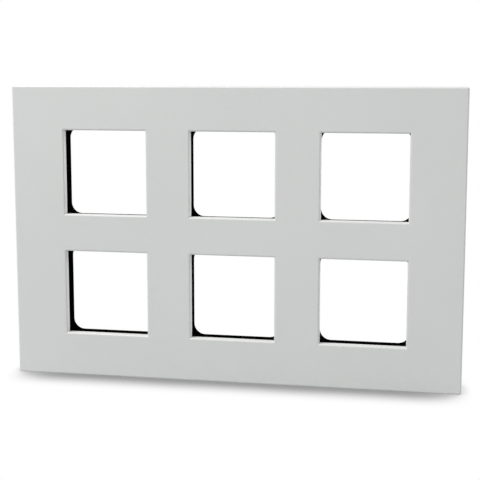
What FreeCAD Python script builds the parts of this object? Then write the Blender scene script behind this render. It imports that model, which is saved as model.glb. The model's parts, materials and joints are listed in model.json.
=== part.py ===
import FreeCAD, Part
import math
import os
import re
import Sketcher

# A grid switch plate: a cover with six openings, pushed onto a frame that is screwed to the wall.
# X runs across, Z up, and the wall is the plane Y = 0. Heights are measured off the wall, toward the
# room, so a height of 9 is at Y = -9.

COLUMNS = 3
ROWS = 2

# Driving sizes, in millimetres
SIZES = {
    # the cover
    "plate_width": 116,  # outside, along X
    "plate_height": 76,  # outside, along Z
    "plate_depth": 9,  # wall to front face
    "front_wall": 1.8,  # thickness of the front
    "skirt_wall": 1.8,  # thickness of the sides
    "skirt_gap": 0.3,  # skirt's rear edge to the wall
    "edge_radius": 0.45,  # rounding of the front edges and of the outer corners
    "opening": 21.8,  # side of a square opening
    "column_pitch": 33.3,  # opening to opening, along X
    "row_pitch": 31.5,  # opening to opening, along Z
    "notch_width": 8,  # lever notch in the skirt's lower edge, along X
    "notch_depth": 1.4,  # the same notch, off the skirt's rear edge
    # the frame
    "frame_gap": 0.3,  # space all round between skirt and frame
    "frame_corner": 1.2,  # radius of the frame's corners and of the hollow over them
    "frame_lead": 0.4,  # chamfer that guides the cover over the frame
    "rim_wall": 1.6,  # thickness of the rim that stands on the wall
    "web_wall": 2,  # thickness of the web behind the cover
    "web_setback": 0.4,  # how far the collars stand out of the web
    "collar_margin": 0.6,  # how much wider the frame's openings are on each side
    "collar_corner": 2.9,  # radius in the corners of the frame's openings
    "collar_wall": 1.4,  # thickness of a collar
    "collar_reach": 7.25,  # front face to a collar's rear edge
    "rib_wall": 1.2,  # thickness of the ribs between the collars
    "rib_clearance": 1,  # ribs and bosses end this far off the wall
    # the pegs that hold the cover
    "peg_width": 3,  # diameter
    "peg_length": 5,  # behind the cover's front
    "peg_lead": 0.4,  # chamfer on the tip
    "peg_play": 0.05,  # space all round in the socket
    "boss_wall": 1.5,  # thickness round the socket
    "peg_inset": 3.9,  # frame's outer edge to the peg's middle
    # the two screw seats
    "screw_spacing": 84,  # middle to middle
    "slot_width": 4.2,  # across a screw slot
    "slot_length": 7,  # end to end
    "head_width": 6.8,  # across the recess for a screw's head
    "head_depth": 2.6,  # recess below the web's front
    "seat_wall": 2,  # thickness under a screw's head
    "seat_side": 0.6,  # wall round the recess
}

# Sizes that follow from these, as formulas in the same names
HOLLOW_WIDTH = "(plate_width - 2 * skirt_wall)"
HOLLOW_HEIGHT = "(plate_height - 2 * skirt_wall)"
FRAME_WIDTH = "(plate_width - 2 * skirt_wall - 2 * frame_gap)"
FRAME_HEIGHT = "(plate_height - 2 * skirt_wall - 2 * frame_gap)"
FRAME_OPENING = "(opening + 2 * collar_margin)"
COLLAR_OUTSIDE = "(opening + 2 * collar_margin + 2 * collar_wall)"
BACK_OF_FRONT = "(plate_depth - front_wall)"
WEB_FRONT = "(plate_depth - front_wall - web_setback)"
WEB_REAR = "(plate_depth - front_wall - web_setback - web_wall)"
SEAT_REAR = "(plate_depth - front_wall - web_setback - head_depth - seat_wall)"
COLLAR_REAR = "(plate_depth - collar_reach)"
HEAD_LENGTH = "(slot_length - slot_width + head_width)"
FIRST_COLUMN = f"(-{COLUMNS - 1} / 2 * column_pitch)"
FIRST_ROW = f"(-{ROWS - 1} / 2 * row_pitch)"
PEG_TIP = "(plate_depth - front_wall - peg_length)"
PEG_ROW = f"({FRAME_HEIGHT} / 2 - peg_inset)"
PEG_COLUMNS = ("(column_pitch / 2)", f"({FRAME_WIDTH} / 2 - peg_inset)")

doc = FreeCAD.newDocument("grid_switch_plate")
sheet = doc.addObject("Spreadsheet::Sheet", "sizes")
for row, (name, millimetres) in enumerate(SIZES.items(), start=1):
    sheet.set(f"A{row}", name)
    sheet.set(f"B{row}", str(millimetres))
    sheet.setAlias(f"B{row}", name)
doc.recompute()


def in_sheet_names(formula):
    """Turns each size's name in a formula into the name of its cell."""
    return re.sub(r"[a-z_]+", r"sizes.\g<0>", formula)


def value(formula):
    """What a formula comes to now, to draw a sketch near its final shape and to find edges."""
    return sheet.evalExpression(in_sheet_names(formula))


def bind(item, target, formula):
    """Ties a property to a formula."""
    item.setExpression(target, in_sheet_names(formula))


# Sketches. In a constraint, a place on a line or an arc is its start, its end or its centre.

ORIGIN = -1
START, END, CENTRE = 1, 2, 3
OUT_OF_SKETCH = FreeCAD.Vector(0, 0, 1)


def sketch_at(body, name, height):
    """A sketch parallel to the wall at a height off it, with its x along X and its y along Z."""
    sketch = body.newObject("Sketcher::SketchObject", name)
    plane = next(item for item in body.Origin.OriginFeatures if item.Role == "XZ_Plane")
    sketch.AttachmentSupport = [(plane, "")]
    sketch.MapMode = "FlatFace"
    bind(sketch, "AttachmentOffset.Base.z", height)
    return sketch


def constrain(sketch, kind, *places):
    """Adds one geometric constraint."""
    sketch.addConstraint(Sketcher.Constraint(kind, *places))


def dimension(sketch, name, kind, places, formula):
    """Adds one named dimension and ties it to a formula."""
    index = sketch.addConstraint(Sketcher.Constraint(kind, *places, value(formula)))
    sketch.renameConstraint(index, name)
    bind(sketch, f"Constraints.{name}", formula)


def arc(x, z, radius, first_degrees, last_degrees):
    """An arc about (x, z), drawn counter-clockwise."""
    circle = Part.Circle(FreeCAD.Vector(x, z, 0), OUT_OF_SKETCH, radius)
    return Part.ArcOfCircle(circle, math.radians(first_degrees), math.radians(last_degrees))


def join_arcs(sketch, shapes):
    """Draws equal arcs and the straight sides between them; side 0 leads to arc 0."""
    arcs = [sketch.addGeometry(shape) for shape in shapes]
    sides = []
    for before, after in zip(shapes[-1:] + shapes[:-1], shapes):
        sides.append(sketch.addGeometry(Part.LineSegment(before.EndPoint, after.StartPoint)))
    for side, bend, following in zip(sides, arcs, sides[1:] + sides[:1]):
        constrain(sketch, "Tangent", side, END, bend, START)
        constrain(sketch, "Tangent", bend, END, following, START)
    for bend in arcs[1:]:
        constrain(sketch, "Equal", arcs[0], bend)
    return sides, arcs


def place_box(sketch, sides, wide, tall, x, z):
    """Squares up the four sides of a rectangle and sets its size, with (x, z) in its middle."""
    bottom, right, top, left = sides
    for level in (bottom, top):
        constrain(sketch, "Horizontal", level)
    for upright in (left, right):
        constrain(sketch, "Vertical", upright)
    dimension(sketch, "wide", "DistanceX", (left, START, right, START), wide)
    dimension(sketch, "tall", "DistanceY", (bottom, START, top, START), tall)
    dimension(sketch, "left", "DistanceX", (ORIGIN, START, left, START), f"{x} - {wide} / 2")
    dimension(sketch, "low", "DistanceY", (ORIGIN, START, bottom, START), f"{z} - {tall} / 2")


def sharp_box(sketch, wide, tall, x="0", z="0"):
    """A rectangle with sharp corners."""
    left, right = value(f"{x} - {wide} / 2"), value(f"{x} + {wide} / 2")
    low, high = value(f"{z} - {tall} / 2"), value(f"{z} + {tall} / 2")
    around = [(left, low), (right, low), (right, high), (left, high)]
    corners = [FreeCAD.Vector(across, up, 0) for across, up in around]
    sides = []
    for begin, finish in zip(corners, corners[1:] + corners[:1]):
        sides.append(sketch.addGeometry(Part.LineSegment(begin, finish)))
    for side, following in zip(sides, sides[1:] + sides[:1]):
        constrain(sketch, "Coincident", side, END, following, START)
    place_box(sketch, sides, wide, tall, x, z)


def rounded_box(sketch, wide, tall, corner, x="0", z="0"):
    """A rectangle with rounded corners."""
    radius = value(corner)
    left, right = value(f"{x} - {wide} / 2 + {corner}"), value(f"{x} + {wide} / 2 - {corner}")
    low, high = value(f"{z} - {tall} / 2 + {corner}"), value(f"{z} + {tall} / 2 - {corner}")
    shapes = [
        arc(right, low, radius, -90, 0),
        arc(right, high, radius, 0, 90),
        arc(left, high, radius, 90, 180),
        arc(left, low, radius, 180, 270),
    ]
    sides, arcs = join_arcs(sketch, shapes)
    place_box(sketch, sides, wide, tall, x, z)
    dimension(sketch, "corner", "Radius", (arcs[0],), corner)


def level_slot(sketch, tag, length, width, x="0"):
    """A slot with round ends along X, about (x, 0)."""
    radius = value(f"{width} / 2")
    right, left = f"{x} + ({length} - {width}) / 2", f"{x} - ({length} - {width}) / 2"
    shapes = [arc(value(right), 0, radius, -90, 90), arc(value(left), 0, radius, 90, 270)]
    sides, (right_end, left_end) = join_arcs(sketch, shapes)
    constrain(sketch, "Horizontal", sides[0])
    constrain(sketch, "PointOnObject", right_end, CENTRE, ORIGIN)
    dimension(sketch, f"{tag}_radius", "Radius", (right_end,), f"{width} / 2")
    dimension(sketch, f"{tag}_right", "DistanceX", (ORIGIN, START, right_end, CENTRE), right)
    dimension(sketch, f"{tag}_left", "DistanceX", (ORIGIN, START, left_end, CENTRE), left)


def disc(sketch, tag, width, x, z):
    """A circle about (x, z)."""
    middle = FreeCAD.Vector(value(x), value(z), 0)
    circle = sketch.addGeometry(Part.Circle(middle, OUT_OF_SKETCH, value(f"{width} / 2")))
    dimension(sketch, f"{tag}_width", "Diameter", (circle,), width)
    dimension(sketch, f"{tag}_x", "DistanceX", (ORIGIN, START, circle, CENTRE), x)
    dimension(sketch, f"{tag}_z", "DistanceY", (ORIGIN, START, circle, CENTRE), z)


def discs_at_pegs(sketch, width):
    """A circle at each peg: above and below, beside the middle column and near the ends."""
    for number, column in enumerate(PEG_COLUMNS):
        for side, across in (("left", -1), ("right", 1)):
            for level, up in (("low", -1), ("high", 1)):
                tag = f"{side}_{level}_{number}"
                disc(sketch, tag, width, f"{across} * {column}", f"{up} * {PEG_ROW}")


def slots_at_screws(sketch, length, width):
    """A slot at each wall screw, in the bar between the two rows."""
    for side, across in (("left", -1), ("right", 1)):
        level_slot(sketch, side, length, width, f"{across} * screw_spacing / 2")


# Features made from the sketches

SAME_PLACE = 0.001


def pad(body, name, sketch, length):
    """Adds material from a sketch toward the room."""
    feature = body.newObject("PartDesign::Pad", name)
    feature.Profile = sketch
    bind(feature, "Length", length)
    doc.recompute()
    return feature


def cut(body, name, sketch, depth, toward_room=False):
    """Takes material away from a sketch toward the wall, or toward the room."""
    volume = body.Shape.Volume
    feature = body.newObject("PartDesign::Pocket", name)
    feature.Profile = sketch
    feature.Reversed = toward_room
    bind(feature, "Length", depth)
    doc.recompute()
    if feature.Shape.Volume > volume - SAME_PLACE:
        raise RuntimeError(f"{name} takes nothing away")
    return feature


def repeat_over_grid(body, name, feature):
    """Repeats a feature from the first opening over all columns and rows."""
    sketch = feature.Profile[0]
    pattern = body.newObject("PartDesign::LinearPattern", name)
    pattern.Originals = [feature]
    pattern.Direction = (sketch, ["H_Axis"])
    pattern.Occurrences = COLUMNS
    bind(pattern, "Length", f"{COLUMNS - 1} * column_pitch")
    pattern.Direction2 = (sketch, ["V_Axis"])
    pattern.Occurrences2 = ROWS
    bind(pattern, "Length2", f"{ROWS - 1} * row_pitch")
    body.Tip = pattern
    doc.recompute()
    return pattern


def edges_between(feature, low, high):
    """Names the edges that reach from one height off the wall to another, or lie at one height."""
    found = []
    for number, edge in enumerate(feature.Shape.Edges, start=1):
        box = edge.BoundBox
        if abs(box.YMax + value(low)) < SAME_PLACE and abs(box.YMin + value(high)) < SAME_PLACE:
            found.append(f"Edge{number}")
    return found


def dress(body, kind, name, feature, edges, target, formula):
    """Rounds or chamfers edges of a feature."""
    edging = body.newObject(f"PartDesign::{kind}", name)
    edging.Base = (feature, edges)
    bind(edging, target, formula)
    doc.recompute()
    return edging


# The cover: a shallow tray, open toward the wall, with the openings cut through its front

cover = doc.addObject("PartDesign::Body", "cover_plate")
cover.Label = "cover_plate"

outline = sketch_at(cover, "cover_outline", "skirt_gap")
sharp_box(outline, "plate_width", "plate_height")
pad(cover, "cover_block", outline, "plate_depth - skirt_gap")

hollow = sketch_at(cover, "cover_hollow_outline", "skirt_gap")
rounded_box(hollow, HOLLOW_WIDTH, HOLLOW_HEIGHT, "frame_corner")
cut(cover, "cover_hollow", hollow, f"{BACK_OF_FRONT} - skirt_gap", toward_room=True)

first_opening = sketch_at(cover, "cover_opening_outline", "plate_depth")
sharp_box(first_opening, "opening", "opening", FIRST_COLUMN, FIRST_ROW)
opened = cut(cover, "cover_opening", first_opening, "plate_depth")
openings = repeat_over_grid(cover, "cover_openings", opened)

front_edges = edges_between(openings, "plate_depth", "plate_depth")
corner_edges = edges_between(openings, "skirt_gap", "plate_depth")
dress(cover, "Fillet", "soft_edges", openings, front_edges + corner_edges, "Radius", "edge_radius")

notch = sketch_at(cover, "lever_notch_outline", "skirt_gap")
sharp_box(notch, "notch_width", "(3 * skirt_wall)", z="-plate_height / 2")
cut(cover, "lever_notch", notch, "notch_depth", toward_room=True)

peg_circles = sketch_at(cover, "peg_circles", PEG_TIP)
discs_at_pegs(peg_circles, "peg_width")
pegs = pad(cover, "pegs", peg_circles, "peg_length")
dress(cover, "Chamfer", "peg_tips", pegs, edges_between(pegs, PEG_TIP, PEG_TIP), "Size", "peg_lead")

# The frame: a web with a collar round each opening, and a rim that stands on the wall

frame = doc.addObject("PartDesign::Body", "grid_frame")
frame.Label = "grid_frame"

outline = sketch_at(frame, "frame_outline", "0")
rounded_box(outline, FRAME_WIDTH, FRAME_HEIGHT, "frame_corner")
block = pad(frame, "frame_block", outline, WEB_FRONT)
front_edges = edges_between(block, WEB_FRONT, WEB_FRONT)
dress(frame, "Chamfer", "frame_lead_in", block, front_edges, "Size", "frame_lead")

hollow = sketch_at(frame, "frame_hollow_outline", "0")
rounded_box(hollow, f"({FRAME_WIDTH} - 2 * rim_wall)", f"({FRAME_HEIGHT} - 2 * rim_wall)", "frame_corner")
cut(frame, "frame_hollow", hollow, WEB_REAR, toward_room=True)

first_collar = sketch_at(frame, "collar_outline", COLLAR_REAR)
outer_corner = "(collar_corner + collar_wall)"
rounded_box(first_collar, COLLAR_OUTSIDE, COLLAR_OUTSIDE, outer_corner, FIRST_COLUMN, FIRST_ROW)
collar = pad(frame, "collar", first_collar, f"{BACK_OF_FRONT} - {COLLAR_REAR}")
repeat_over_grid(frame, "collars", collar)

# One rib joins the screw seats, and one on each side of the middle column joins the rims
level_rib = sketch_at(frame, "level_rib_outline", "rib_clearance")
level_slot(level_rib, "rib", f"(screw_spacing - {HEAD_LENGTH})", "rib_wall")
pad(frame, "level_rib", level_rib, f"{WEB_REAR} - rib_clearance")

for side, across in (("left", -1), ("right", 1)):
    upright_rib = sketch_at(frame, f"{side}_rib_outline", "rib_clearance")
    sharp_box(upright_rib, "rib_wall", f"({FRAME_HEIGHT} - rim_wall)", f"{across} * column_pitch / 2")
    pad(frame, f"{side}_rib", upright_rib, f"{WEB_REAR} - rib_clearance")

boss_circles = sketch_at(frame, "boss_circles", "rib_clearance")
discs_at_pegs(boss_circles, "(peg_width + 2 * peg_play + 2 * boss_wall)")
pad(frame, "bosses", boss_circles, f"{WEB_REAR} - rib_clearance")

seats = sketch_at(frame, "seat_outlines", SEAT_REAR)
slots_at_screws(seats, f"({HEAD_LENGTH} + 2 * seat_side)", "(head_width + 2 * seat_side)")
pad(frame, "seats", seats, f"{WEB_REAR} - {SEAT_REAR}")

first_opening = sketch_at(frame, "frame_opening_outline", "plate_depth")
rounded_box(first_opening, FRAME_OPENING, FRAME_OPENING, "collar_corner", FIRST_COLUMN, FIRST_ROW)
opened = cut(frame, "frame_opening", first_opening, "plate_depth")
repeat_over_grid(frame, "frame_openings", opened)

socket_circles = sketch_at(frame, "socket_circles", WEB_FRONT)
discs_at_pegs(socket_circles, "(peg_width + 2 * peg_play)")
cut(frame, "sockets", socket_circles, WEB_FRONT)

recesses = sketch_at(frame, "head_recess_outlines", WEB_FRONT)
slots_at_screws(recesses, HEAD_LENGTH, "head_width")
cut(frame, "head_recesses", recesses, "head_depth")

screw_slots = sketch_at(frame, "screw_slot_outlines", WEB_FRONT)
slots_at_screws(screw_slots, "slot_length", "slot_width")
cut(frame, "screw_slots", screw_slots, WEB_FRONT)

# Checks, then one file for each piece

doc.recompute()
for item in doc.Objects:
    if "Invalid" in item.State or "Error" in item.State:
        raise RuntimeError(f"{item.Name} failed: {item.State}")
for body in (cover, frame):
    if body.Shape.isNull() or not body.Shape.isValid() or len(body.Shape.Solids) != 1:
        raise RuntimeError(f"{body.Label} is not one sound solid")

os.makedirs("parts", exist_ok=True)
for body in (cover, frame):
    body.Shape.exportStep(f"parts/{body.Label}.step")
    print(body.Label, round(body.Shape.Volume), "mm3")
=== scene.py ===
# %% [markdown]
# # Dressing a grid switch plate
#
# The real object is two plastic mouldings. A pale cover plate, flat in front with six square openings, presses
# onto a black grid frame by eight pegs, and the frame is what the wall screws hold. Both shapes come from the
# solid model, so this lesson changes no shape: it loads them, gives each its plastic, and sets up the floor, the
# light and the camera of a catalogue picture. Loading comes first, because every later step measures the model.

# %% Load the two mouldings
import bpy
import json
import math
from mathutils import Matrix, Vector


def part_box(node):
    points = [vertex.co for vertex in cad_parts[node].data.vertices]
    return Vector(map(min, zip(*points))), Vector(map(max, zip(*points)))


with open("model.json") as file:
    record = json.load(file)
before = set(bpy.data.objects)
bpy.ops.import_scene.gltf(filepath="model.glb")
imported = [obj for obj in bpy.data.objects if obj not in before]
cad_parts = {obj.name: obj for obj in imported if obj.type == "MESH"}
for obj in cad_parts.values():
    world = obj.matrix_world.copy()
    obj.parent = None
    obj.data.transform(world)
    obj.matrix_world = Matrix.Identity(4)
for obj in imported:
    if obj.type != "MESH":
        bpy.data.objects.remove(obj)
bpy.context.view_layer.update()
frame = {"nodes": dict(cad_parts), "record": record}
cover = frame["nodes"]["cover_plate"]
grid = frame["nodes"]["grid_frame"]
print("pieces:", sorted(frame["nodes"]))

# %% [markdown]
# Sizes are read from the loaded pieces and not typed again. The model is in metres, so a small factor turns the
# millimetres that a maker thinks in into Blender's units. The plate's lowest edge is where the floor will be, and
# half its width says where the shadow at its foot ends.

# %% Measure the plate
MM = 0.001
cover_low, cover_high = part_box("cover_plate")
half_width = cover_high.x
floor_level = cover_low.z
print("cover plate, mm:", [round(side / MM, 2) for side in cover_high - cover_low])
print("floor level, mm:", round(floor_level / MM, 2))

# %% [markdown]
# ## Helpers for materials
#
# A paint chart gives colours as sRGB hex values, while Blender's sockets hold linear light, so one function turns
# the first into the second. Another adds a node: its settings, and its inputs as plain values or as the outputs of
# nodes made before. Each material below then reads from top to bottom like a recipe. Where several sockets of a
# node share a name they go by number: 0 and 1 on a Math node, and on a Mix node the three that carry a colour.

# %% Helpers for colours and nodes
COLOUR_A, COLOUR_B, COLOUR_MIX = 6, 7, 2


def linear(hex_colour):
    """Turns an sRGB hex value into the linear colour that a socket holds."""
    channels = [int(hex_colour[i:i + 2], 16) / 255 for i in (1, 3, 5)]
    light = [c / 12.92 if c <= 0.04045 else ((c + 0.055) / 1.055) ** 2.4 for c in channels]
    return (*light, 1.0)


def add(tree, kind, settings=None, inputs=None):
    """Adds a node; an input is a plain value or another node's output."""
    node = tree.nodes.new(kind)
    for name, setting in (settings or {}).items():
        setattr(node, name, setting)
    for name, source in (inputs or {}).items():
        if isinstance(source, bpy.types.NodeSocket):
            tree.links.new(source, node.inputs[name])
        else:
            node.inputs[name].default_value = source
    return node


def fresh_tree(owner):
    """Empties a material's or the world's node tree and returns it."""
    owner.use_nodes = True
    owner.node_tree.nodes.clear()
    return owner.node_tree


print("a mid grey in linear light:", round(linear("#808080")[0], 3))

# %% [markdown]
# ## The cover: moulded polycarbonate
#
# Wiring plates are moulded in polycarbonate or a urea resin, coloured right through. The mould's front half is
# spark eroded, which leaves a fine even grain: the eye sees a satin surface with no sharp reflections. Two things
# keep it from looking like flat paint. The resin cools unevenly, so the grey drifts by a shade or two over some
# 30 mm, and the grain breaks up the gloss. One noise gives the drift and another the grain; the grain of a real
# plate is near 0.1 mm, and is drawn at 0.25 mm here because the picture has about four pixels to a millimetre.

# %% Moulded polycarbonate
FLOW_SIZE = 30 * MM
COVER_GRAIN = 0.25 * MM
COVER_RELIEF = 0.006 * MM


def moulded_polycarbonate():
    """The cover's satin grey."""
    material = bpy.data.materials.new("moulded_polycarbonate")
    tree = fresh_tree(material)
    place = add(tree, "ShaderNodeTexCoord").outputs["Object"]
    flow = add(tree, "ShaderNodeTexNoise",
               inputs={"Vector": place, "Scale": 1 / FLOW_SIZE, "Detail": 2.0})
    grain = add(tree, "ShaderNodeTexNoise",
                inputs={"Vector": place, "Scale": 1 / COVER_GRAIN, "Detail": 3.0})
    grey = add(tree, "ShaderNodeMix", {"data_type": "RGBA"},
               {"Factor": flow.outputs["Fac"], COLOUR_A: linear("#CBCBC9"), COLOUR_B: linear("#D1D1CF")})
    gloss = add(tree, "ShaderNodeMapRange",
                inputs={"Value": grain.outputs["Fac"], "To Min": 0.40, "To Max": 0.52})
    relief = add(tree, "ShaderNodeBump",
                 inputs={"Height": grain.outputs["Fac"], "Strength": 0.5, "Distance": COVER_RELIEF})
    plastic = add(tree, "ShaderNodeBsdfPrincipled",
                  inputs={"Base Color": grey.outputs[COLOUR_MIX], "Roughness": gloss.outputs["Result"],
                          "IOR": 1.58, "Normal": relief.outputs["Normal"]})
    add(tree, "ShaderNodeOutputMaterial", inputs={"Surface": plastic.outputs["BSDF"]})
    return material


pale_plastic = moulded_polycarbonate()
print("made", pale_plastic.name)

# %% [markdown]
# ## The frame: where its openings are
#
# The frame takes the pull of the screws, so it is moulded in nylon with short glass fibres, pigmented black. A skin
# of resin covers the fibres. The walls inside the openings are the same nylon, but they lie in the openings' shade,
# so shade is painted on them: a darker colour and no shine, which leaves them dead black. Where a point lies tells
# the two apart: its distance from the nearest opening's middle, measured as a square is. The record gives the
# middles, and the walls are 11.5 mm from them, so the painted shade ends just past that. One material then dresses
# the whole moulding.

# %% Middles of the openings
openings = [mount["pos_m"] for mount in frame["record"]["mounts"] if mount["name"].endswith("_opening")]
columns = sorted({round(x, 5) for x, y, z in openings})
rows = sorted({round(z, 5) for x, y, z in openings})
column_pitch = columns[1] - columns[0]
row_height = rows[-1]
print("columns, mm:", [x / MM for x in columns], "rows, mm:", [z / MM for z in rows])

# %% Tell the skin from the walls that get painted shade
PAINTED_SHADE_ENDS = 11.7 * MM


def outside_painted_shade(tree, place):
    """One for a point on the skin, and nought for a point on a wall inside an opening, where shade is painted."""
    axes = add(tree, "ShaderNodeSeparateXYZ", inputs={"Vector": place})
    from_middle = add(tree, "ShaderNodeMath", {"operation": "ABSOLUTE"}, {0: axes.outputs["X"]})
    past_pitch = add(tree, "ShaderNodeMath", {"operation": "SUBTRACT"},
                     {0: from_middle.outputs["Value"], 1: column_pitch})
    from_side = add(tree, "ShaderNodeMath", {"operation": "ABSOLUTE"}, {0: past_pitch.outputs["Value"]})
    across = add(tree, "ShaderNodeMath", {"operation": "MINIMUM"},
                 {0: from_middle.outputs["Value"], 1: from_side.outputs["Value"]})
    height = add(tree, "ShaderNodeMath", {"operation": "ABSOLUTE"}, {0: axes.outputs["Z"]})
    past_row = add(tree, "ShaderNodeMath", {"operation": "SUBTRACT"},
                   {0: height.outputs["Value"], 1: row_height})
    upright = add(tree, "ShaderNodeMath", {"operation": "ABSOLUTE"}, {0: past_row.outputs["Value"]})
    outward = add(tree, "ShaderNodeMath", {"operation": "MAXIMUM"},
                  {0: across.outputs["Value"], 1: upright.outputs["Value"]})
    unshaded_skin = add(tree, "ShaderNodeMath", {"operation": "GREATER_THAN"},
                  {0: outward.outputs["Value"], 1: PAINTED_SHADE_ENDS})
    return unshaded_skin.outputs["Value"]


print("the skin starts", round(PAINTED_SHADE_ENDS / MM, 2), "mm from a middle")

# %% [markdown]
# ## The frame: glass-filled nylon
#
# The skin is a dark grey with a satin shine, and shows the flow of the resin as faint streaks about 12 mm long and
# 2 mm wide. One stretched noise makes them, in the grey, in the gloss and in the strength of the shine. The shine
# is a thin coat over a base with no shine of its own. Inside the openings the coat is left out and the colour is
# near black, which leaves them dead black: painted shade. A fine grain of 0.3 mm roughens both.

# %% Glass-filled nylon
STREAK_WIDTH = 2 * MM
STREAK_STRETCH = 6
FRAME_GRAIN = 0.3 * MM
FRAME_RELIEF = 0.01 * MM


def glass_filled_nylon():
    """The frame's dark nylon: a satin skin, and painted shade on the walls inside the openings."""
    material = bpy.data.materials.new("glass_filled_nylon")
    tree = fresh_tree(material)
    place = add(tree, "ShaderNodeTexCoord").outputs["Object"]
    unshaded_skin = outside_painted_shade(tree, place)
    along = add(tree, "ShaderNodeMapping", inputs={"Vector": place, "Scale": (1 / STREAK_STRETCH, 1, 1)})
    streaks = add(tree, "ShaderNodeTexNoise",
                  inputs={"Vector": along.outputs["Vector"], "Scale": 1 / STREAK_WIDTH, "Detail": 3.0})
    grain = add(tree, "ShaderNodeTexNoise",
                inputs={"Vector": place, "Scale": 1 / FRAME_GRAIN, "Detail": 2.0})
    skin = add(tree, "ShaderNodeMix", {"data_type": "RGBA"},
               {"Factor": streaks.outputs["Fac"], COLOUR_A: linear("#18181A"), COLOUR_B: linear("#2A2A2C")})
    # Inside the openings the walls get #030303, darker than the skin: painted shade for the shade inside the
    # openings.
    skin_and_painted_shade = add(tree, "ShaderNodeMix", {"data_type": "RGBA"},
                {"Factor": unshaded_skin, COLOUR_A: linear("#030303"), COLOUR_B: skin.outputs[COLOUR_MIX]})
    satin = add(tree, "ShaderNodeMapRange",
                inputs={"Value": streaks.outputs["Fac"], "From Min": 0.3, "From Max": 0.7,
                        "To Min": 0.48, "To Max": 0.72})
    # The coat is left out inside the openings too, so the painted shade there has no shine.
    shine = add(tree, "ShaderNodeMath", {"operation": "MULTIPLY"}, {0: unshaded_skin, 1: satin.outputs["Result"]})
    gloss = add(tree, "ShaderNodeMapRange",
                inputs={"Value": streaks.outputs["Fac"], "To Min": 0.45, "To Max": 0.65})
    relief = add(tree, "ShaderNodeBump",
                 inputs={"Height": grain.outputs["Fac"], "Strength": 0.5, "Distance": FRAME_RELIEF})
    plastic = add(tree, "ShaderNodeBsdfPrincipled",
                  inputs={"Base Color": skin_and_painted_shade.outputs[COLOUR_MIX], "Roughness": gloss.outputs["Result"],
                          "IOR": 1.53, "Specular IOR Level": 0.0, "Normal": relief.outputs["Normal"],
                          "Coat Weight": shine.outputs["Value"], "Coat Roughness": 0.4, "Coat IOR": 1.53,
                          "Coat Normal": relief.outputs["Normal"]})
    add(tree, "ShaderNodeOutputMaterial", inputs={"Surface": plastic.outputs["BSDF"]})
    return material


black_plastic = glass_filled_nylon()
print("made", black_plastic.name)

# %% [markdown]
# A loaded piece brings a plain material from the solid model. Its slot is refilled and the mesh is left alone, so
# the shape stays exactly the one from the solid model.

# %% Give each moulding its plastic
for piece, plastic in ((cover, pale_plastic), (grid, black_plastic)):
    piece.data.materials.clear()
    piece.data.materials.append(plastic)
    print(piece.name, "is", plastic.name, "on", len(piece.data.polygons), "faces")

# %% [markdown]
# ## White for whoever looks
#
# A catalogue picture has plain white all round, yet a white that bright would flood the plate with light. The Light
# Path node tells apart a ray that looks, from the camera or by way of a reflection or a glass piece, and a ray that
# only carries light. The floor and the room below are white for the first and duller for the second.

# %% Tell looking from lighting
def looked_at(tree):
    """One for a ray from the camera, a reflection or a glass piece, and nought for light that falls on things."""
    ray = add(tree, "ShaderNodeLightPath")
    direct = add(tree, "ShaderNodeMath", {"operation": "MAXIMUM"},
                 {0: ray.outputs["Is Camera Ray"], 1: ray.outputs["Is Glossy Ray"]})
    seen = add(tree, "ShaderNodeMath", {"operation": "MAXIMUM"},
               {0: direct.outputs["Value"], 1: ray.outputs["Is Transmission Ray"]})
    return seen.outputs["Value"]


# %% [markdown]
# ## The shadow at the foot
#
# The picture shows the plate standing on its long edge on white, with a short soft shadow along the foot and
# nothing else. A white sheet in an evenly lit room looks like that: it is bright everywhere except close to the
# plate, which keeps part of the room's light off it. Ambient occlusion measures that part, here over 14 mm, and a
# smooth step turns it into brightness. In the picture the shadow weakens towards the plate's ends and stops there,
# as it does where light comes in from both sides. A high power of the distance from the middle gives that fade,
# which is complete 2.5 mm past the ends. The shadow depends on the plate alone and not on the camera, so it holds
# from every side and follows the cover when it is pulled off.

# %% Shadow at the foot
SHADOW_REACH = 14 * MM
SHADOW_LEVEL = 0.33
DEEP_NOOK, OPEN_FLOOR = 0.52, 0.97
PAST_ENDS = 2.5 * MM
FADE_POWER = 12.0


def foot_shade(tree):
    """How bright the sheet looks, from the darkest of the shadow to 1, which is white."""
    nook = add(tree, "ShaderNodeAmbientOcclusion", {"samples": 24}, {"Distance": SHADOW_REACH})
    shade = add(tree, "ShaderNodeMapRange", {"interpolation_type": "SMOOTHSTEP"},
                {"Value": nook.outputs["AO"], "From Min": DEEP_NOOK, "From Max": OPEN_FLOOR,
                 "To Min": SHADOW_LEVEL, "To Max": 1.0})
    place = add(tree, "ShaderNodeTexCoord").outputs["Object"]
    axes = add(tree, "ShaderNodeSeparateXYZ", inputs={"Vector": place})
    aside = add(tree, "ShaderNodeMath", {"operation": "ABSOLUTE"}, {0: axes.outputs["X"]})
    share = add(tree, "ShaderNodeMath", {"operation": "DIVIDE"},
                {0: aside.outputs["Value"], 1: half_width + PAST_ENDS})
    fade = add(tree, "ShaderNodeMath", {"operation": "POWER", "use_clamp": True},
               {0: share.outputs["Value"], 1: FADE_POWER})
    level = add(tree, "ShaderNodeMapRange",
                inputs={"Value": fade.outputs["Value"], "To Min": shade.outputs["Result"], "To Max": 1.0})
    return level.outputs["Result"]


print("the shadow ends", round((half_width + PAST_ENDS) / MM, 2), "mm from the middle")

# %% [markdown]
# ## The floor
#
# The floor is one large sheet at the plate's lowest edge. Whoever looks at it sees white with the shadow on it. For
# light that bounces back up it is a pale, slightly cool grey, because a real sheet on a table lies half in the
# plate's own shade.

# %% White floor
FLOOR_SIZE = 6.0


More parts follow.
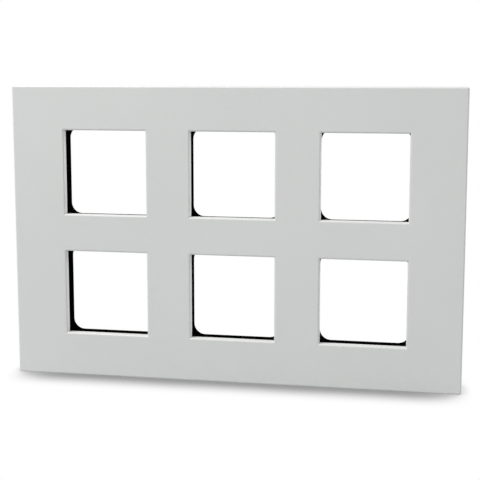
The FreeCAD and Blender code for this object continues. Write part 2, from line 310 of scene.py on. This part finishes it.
def white_paper():
    """The sheet that the plate stands on."""
    material = bpy.data.materials.new("white_paper")
    tree = fresh_tree(material)
    # The foot's shadow is painted into this glow for whoever looks; no shadow cast by the lamps is seen on the
    # sheet.
    bright = add(tree, "ShaderNodeEmission", inputs={"Strength": foot_shade(tree)})
    paper = add(tree, "ShaderNodeBsdfDiffuse", inputs={"Color": linear("#CACED0")})
    sheet = add(tree, "ShaderNodeMixShader",
                inputs={"Fac": looked_at(tree), 1: paper.outputs["BSDF"], 2: bright.outputs["Emission"]})
    add(tree, "ShaderNodeOutputMaterial", inputs={"Surface": sheet.outputs["Shader"]})
    return material


bpy.ops.mesh.primitive_plane_add(size=FLOOR_SIZE, location=(0, 0, floor_level))
floor = bpy.context.object
floor.name = "floor"
floor.data.materials.append(white_paper())
print("floor at", round(floor.location.z / MM, 2), "mm")

# %% [markdown]
# ## The room
#
# An even face with soft edges says that white walls stand all round. The world is that white room: it lights the
# plate at a lower level, and is plain white for whoever looks at it.

# %% White room
ROOM_LEVEL = 0.54
world = bpy.data.worlds.new("white_room")
bpy.context.scene.world = world
room = fresh_tree(world)
level = add(room, "ShaderNodeMapRange", inputs={"Value": looked_at(room), "To Min": ROOM_LEVEL, "To Max": 1.0})
walls = add(room, "ShaderNodeBackground",
            inputs={"Color": linear("#FFFFFF"), "Strength": level.outputs["Result"]})
add(room, "ShaderNodeOutputWorld", inputs={"Surface": walls.outputs["Background"]})
print("room light:", ROOM_LEVEL)

# %% [markdown]
# ## The lamps
#
# Two soft lamps finish the light. One overhead, in front and to the left, makes the sills of the openings bright
# and the upper left of the face the lightest. A weaker one behind, to the right, shines through the openings onto
# their left walls and leaves the face alone. Sizes and places are in metres.

# %% Soft lamps
def soft_lamp(name, width, depth, watts, place):
    """A rectangular soft lamp at a place, turned towards the middle of the plate."""
    data = bpy.data.lights.new(name, "AREA")
    data.shape = "RECTANGLE"
    data.size = width
    data.size_y = depth
    data.energy = watts
    lamp = bpy.data.objects.new(name, data)
    bpy.context.scene.collection.objects.link(lamp)
    lamp.location = place
    lamp.rotation_euler = (-Vector(place)).to_track_quat("-Z", "Y").to_euler()
    print(name, watts, "W")


soft_lamp("overhead_lamp", width=0.4, depth=0.3, watts=4.3, place=(-0.28, -0.22, 0.56))
soft_lamp("rear_lamp", width=0.3, depth=0.3, watts=1.6, place=(0.45, 0.35, 0.12))

# %% [markdown]
# ## The camera
#
# The edges of the plate in the picture fix the camera: it stands to the right of the middle and a little above
# it, turned 11 degrees to the left and 8 degrees down. A small downward lens shift stands for the way the picture
# was cut to a square, so the upright edges lean as they do there.

# %% Camera
DEGREES_DOWN = 7.75
DEGREES_LEFT = 10.69
camera_data = bpy.data.cameras.new("camera")
camera_data.sensor_width = 36.0
camera_data.lens = 81.0
camera_data.shift_y = -0.05
camera = bpy.data.objects.new("camera", camera_data)
bpy.context.scene.collection.objects.link(camera)
camera.location = (52.20 * MM, -274.28 * MM, 42.26 * MM)
camera.rotation_euler = (math.radians(90 - DEGREES_DOWN), 0, math.radians(DEGREES_LEFT))
bpy.context.scene.camera = camera
bpy.context.scene.view_settings.view_transform = "Standard"
print("camera:", [round(x / MM, 1) for x in camera.location], "mm")
